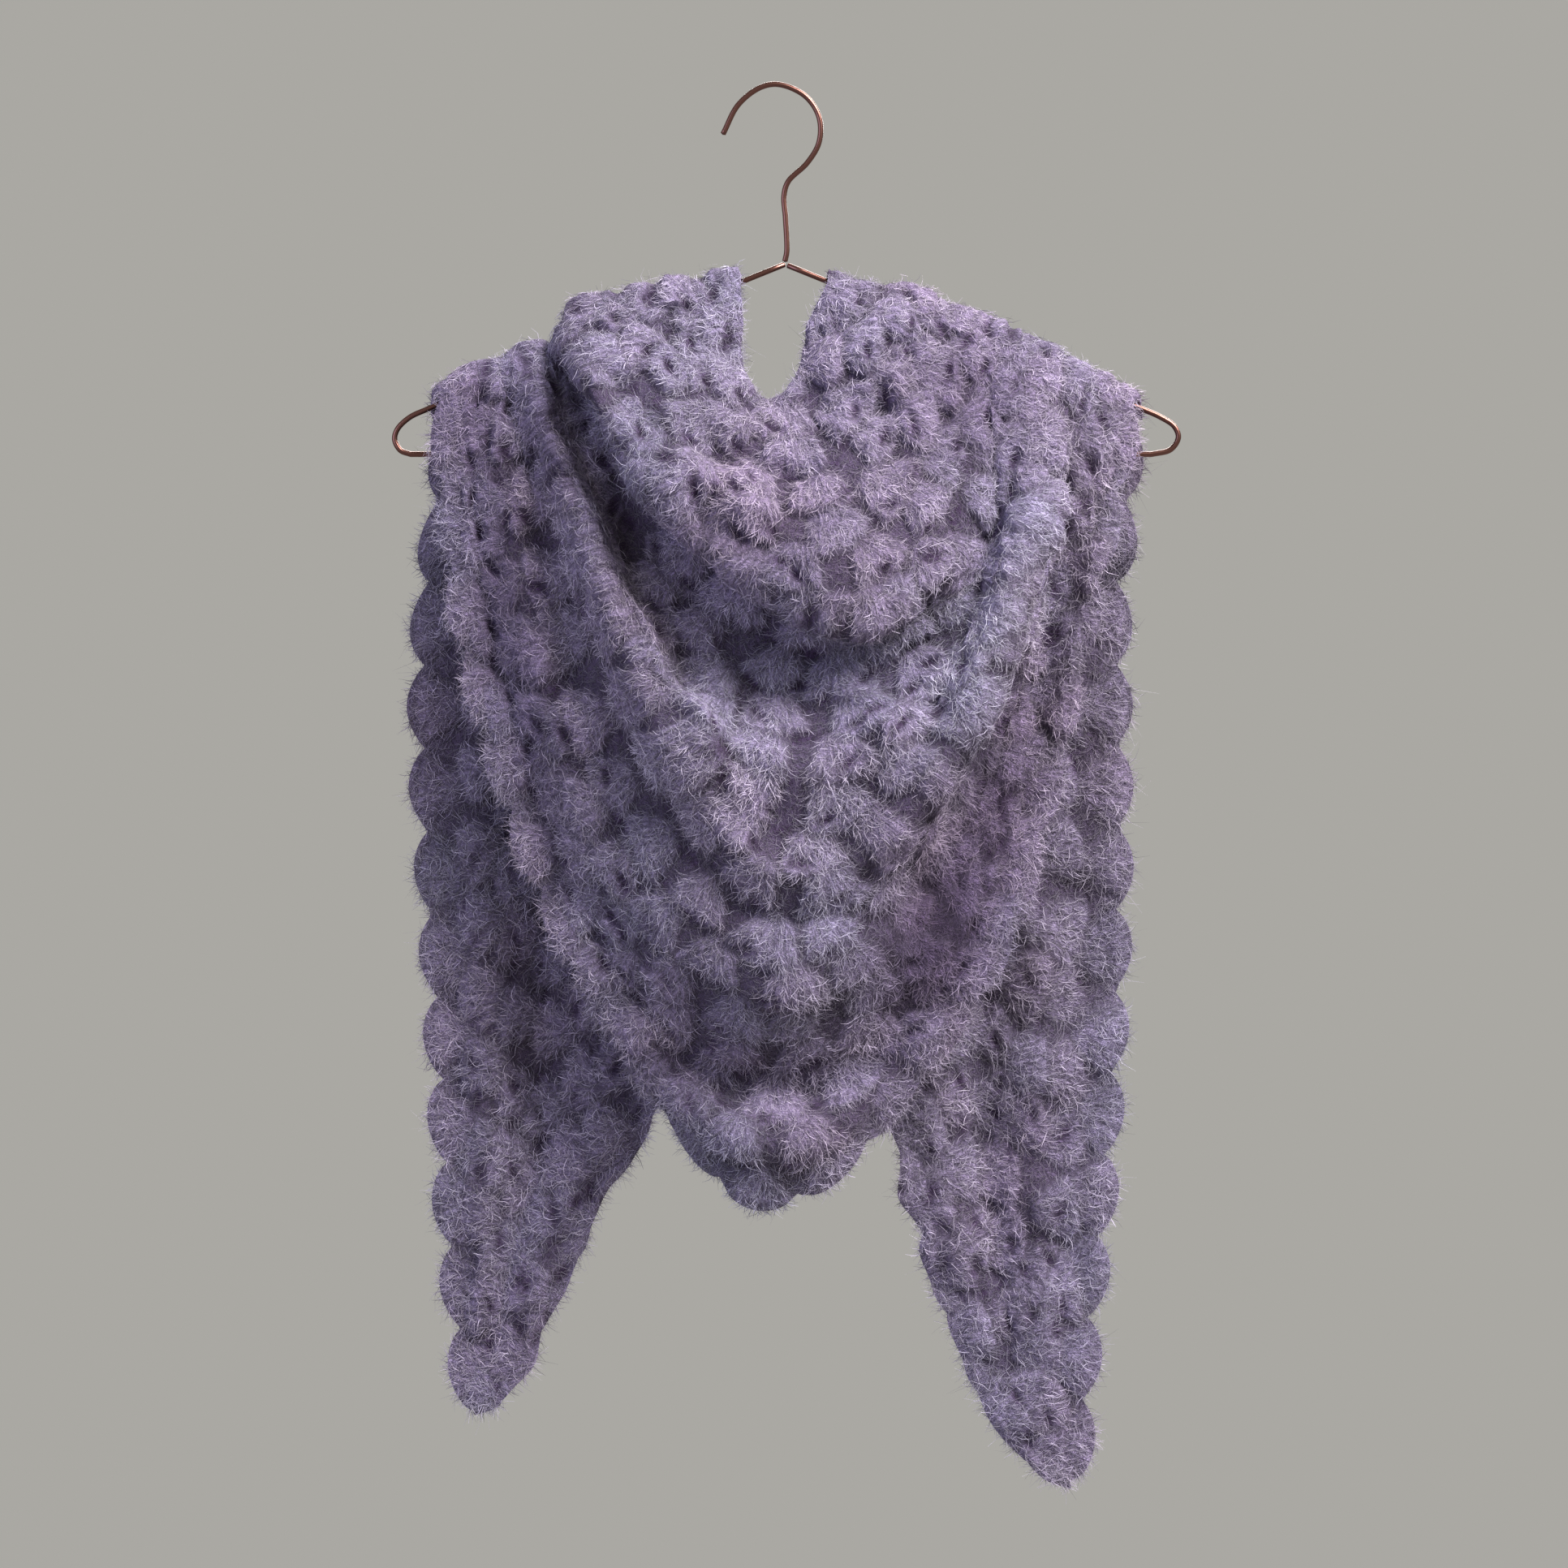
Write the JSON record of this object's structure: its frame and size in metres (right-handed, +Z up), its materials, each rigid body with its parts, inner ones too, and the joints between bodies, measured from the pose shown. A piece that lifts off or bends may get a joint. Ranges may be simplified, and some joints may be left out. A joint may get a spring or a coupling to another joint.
{
  "type": "triangle shawl on a wire hanger",
  "caption": "Fluffy crocheted triangle shawl in shell stitch, draped as a cowl over a thin wire hanger, its point in front and two tails behind.",
  "frame": {"origin": "the inside top of the hanger's hook, where a nail or rail carries it", "axes": "+Z up, the front of the shawl faces -Y, +X to the right seen from the front"},
  "size_m": [0.4237, 0.1103, 0.7571],
  "materials": {
    "mohair_crochet": "fluffy brushed mohair in shell stitch, lilac to mauve",
    "shell_edging": "fluffy mohair shells along the two short sides",
    "hanger_wire": "thin steel wire with a dark copper finish"
  },
  "bodies": {
    "root": {"hanger_hook": "hanger_wire", "hanger_arm_left": "hanger_wire", "hanger_arm_right": "hanger_wire", "hanger_loop_left": "hanger_wire", "hanger_loop_right": "hanger_wire", "hanger_bar": "hanger_wire", "cowl": "mohair_crochet", "front_drape": "mohair_crochet", "front_point": "mohair_crochet", "left_tail": "mohair_crochet", "right_tail": "mohair_crochet", "left_tail_edging": "shell_edging", "right_tail_edging": "shell_edging", "front_edging_left": "shell_edging", "front_edging_right": "shell_edging"}
  },
  "joints": []
}
